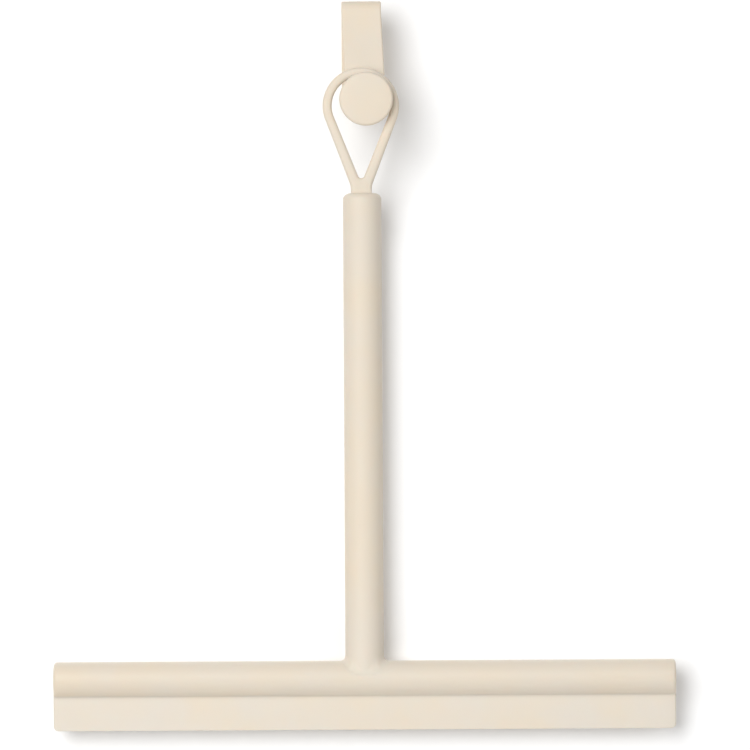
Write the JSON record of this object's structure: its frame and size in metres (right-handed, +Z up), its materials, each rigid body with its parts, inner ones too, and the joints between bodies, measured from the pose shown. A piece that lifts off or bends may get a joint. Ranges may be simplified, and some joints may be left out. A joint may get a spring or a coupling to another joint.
{
  "type": "window squeegee with hanger",
  "caption": "T-shaped window squeegee in silicone, with a flexible blade and a teardrop loop that hangs from a knob on an over-glass hook.",
  "frame": {"origin": "middle of the underside of the hanger's bridge, where it rests on the top edge of a glass panel", "axes": "+X along the blade, to the right seen from the front; -Y towards the front, where the knob is; +Z up"},
  "size_m": [0.2454, 0.0303, 0.2878],
  "materials": {
    "hanger_strip": "brushed",
    "hanger_skin": "matte",
    "clamp_washer": "plain",
    "knob_screw": "plain",
    "knob_core": "matte",
    "knob_insert": "plain",
    "knob_skin": "matte",
    "hanging_loop": "matte",
    "loop_tail": "matte",
    "loop_pin": "plain",
    "loop_plug": "matte",
    "handle_tube": "brushed",
    "grip_skin": "matte",
    "tube_spigot": "turned",
    "spigot_screw": "plain",
    "head_channel": "extruded",
    "blade_root": "matte",
    "blade_rod": "plain",
    "end_plug_left": "matte",
    "end_plug_right": "matte",
    "blade_lip": "matte"
  },
  "bodies": {
    "hanger": {"hanger_strip": "hanger_strip", "hanger_skin": "hanger_skin", "clamp_washer": "clamp_washer"},
    "knob": {"knob_screw": "knob_screw", "knob_core": "knob_core", "knob_insert": "knob_insert", "knob_skin": "knob_skin"},
    "loop": {"hanging_loop": "hanging_loop"},
    "squeegee": {"loop_tail": "loop_tail", "loop_pin": "loop_pin", "loop_plug": "loop_plug", "handle_tube": "handle_tube", "grip_skin": "grip_skin", "tube_spigot": "tube_spigot", "spigot_screw": "spigot_screw", "head_channel": "head_channel", "blade_root": "blade_root", "blade_rod": "blade_rod", "end_plug_left": "end_plug_left", "end_plug_right": "end_plug_right"},
    "blade": {"blade_lip": "blade_lip"}
  },
  "joints": [
    {"name": "knob_swing", "type": "hinge", "parent": "hanger", "child": "knob", "pos_m": [0.0018, -0.014, -0.036], "axis": [0, -1, 0], "range_deg": [-35, 35]},
    {"name": "unhook", "type": "slide", "parent": "knob", "child": "loop", "axis": [0.3039, -0.8193, 0.4863], "range_m": [0, 0.014]},
    {"name": "loop_flex", "type": "hinge", "parent": "loop", "child": "squeegee", "pos_m": [0, -0.014, -0.0711], "axis": [1, 0, 0], "range_deg": [-30, 0], "stiffness_Nm_per_rad": 0.02},
    {"name": "lip_flex", "type": "hinge", "parent": "squeegee", "child": "blade", "pos_m": [0, -0.014, -0.2731], "axis": [1, 0, 0], "range_deg": [-28, 28], "stiffness_Nm_per_rad": 0.03}
  ]
}
